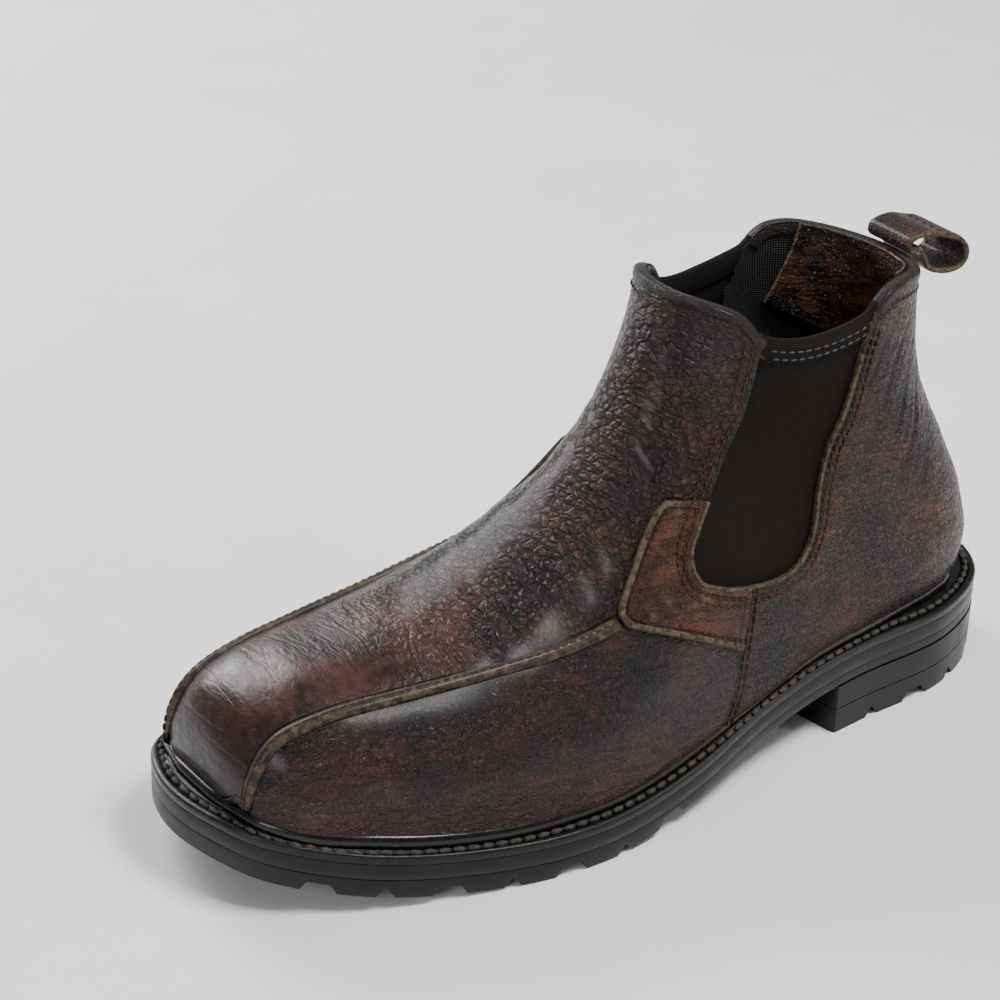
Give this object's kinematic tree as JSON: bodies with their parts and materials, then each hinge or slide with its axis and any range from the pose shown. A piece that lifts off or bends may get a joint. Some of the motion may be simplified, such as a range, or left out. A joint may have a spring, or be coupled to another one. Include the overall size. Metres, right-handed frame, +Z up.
{
  "type": "chelsea boot",
  "caption": "Left ankle boot with elastic side panels, patched seams, a back pull tab and a lugged rubber sole on a low block heel.",
  "frame": {"origin": "on the floor, under the centre of the boot's bounding box", "axes": "+Z up, -Y towards the toe, +Y towards the heel, +X towards the outer side of the left foot"},
  "size_m": [0.119, 0.3058, 0.1563],
  "materials": {
    "upper_leather": "burnished pull-up, pebbled",
    "patch_leather": "waxed",
    "raw_edge": "raw edge",
    "elastic": "fine ribbed elastic",
    "binding": "woven tape",
    "lining": "twill mesh",
    "grip_leather": "glossy, wrinkled",
    "fibreboard": "matt board",
    "shank_steel": "mill",
    "cork": "granular",
    "rand_rubber": "glossy",
    "welt_leather": "waxed edge",
    "welt_thread": "waxed thread",
    "sole_rubber": "semi-matt"
  },
  "bodies": {
    "boot": {"front_panel": "upper_leather", "side_panel_outer": "upper_leather", "side_panel_inner": "upper_leather", "quarter_outer": "upper_leather", "quarter_inner": "upper_leather", "patch_outer": "patch_leather", "patch_inner": "patch_leather", "piping_outer": "raw_edge", "piping_inner": "raw_edge", "back_strip": "raw_edge", "elastic_outer": "elastic", "elastic_inner": "elastic", "elastic_binding_outer": "binding", "elastic_binding_inner": "binding", "rim_front": "binding", "rim_back": "binding", "lining_vamp": "lining", "lining_quarter": "lining", "heel_grip": "grip_leather", "heel_counter": "fibreboard", "toe_puff": "fibreboard", "insole_board": "fibreboard", "footbed": "lining", "cork_filler": "cork", "shank": "shank_steel", "rand": "rand_rubber", "welt": "welt_leather", "welt_thread": "welt_thread", "midsole": "sole_rubber", "outsole": "sole_rubber", "heel_base": "sole_rubber", "heel_top_piece": "sole_rubber"},
    "tab": {"pull_tab": "patch_leather"}
  },
  "joints": [
    {"name": "pull_tab_hinge", "type": "hinge", "parent": "boot", "child": "tab", "pos_m": [-0.0015, 0.11108, 0.1498], "axis": [1, 0, 0], "range_deg": [0, 80]}
  ]
}
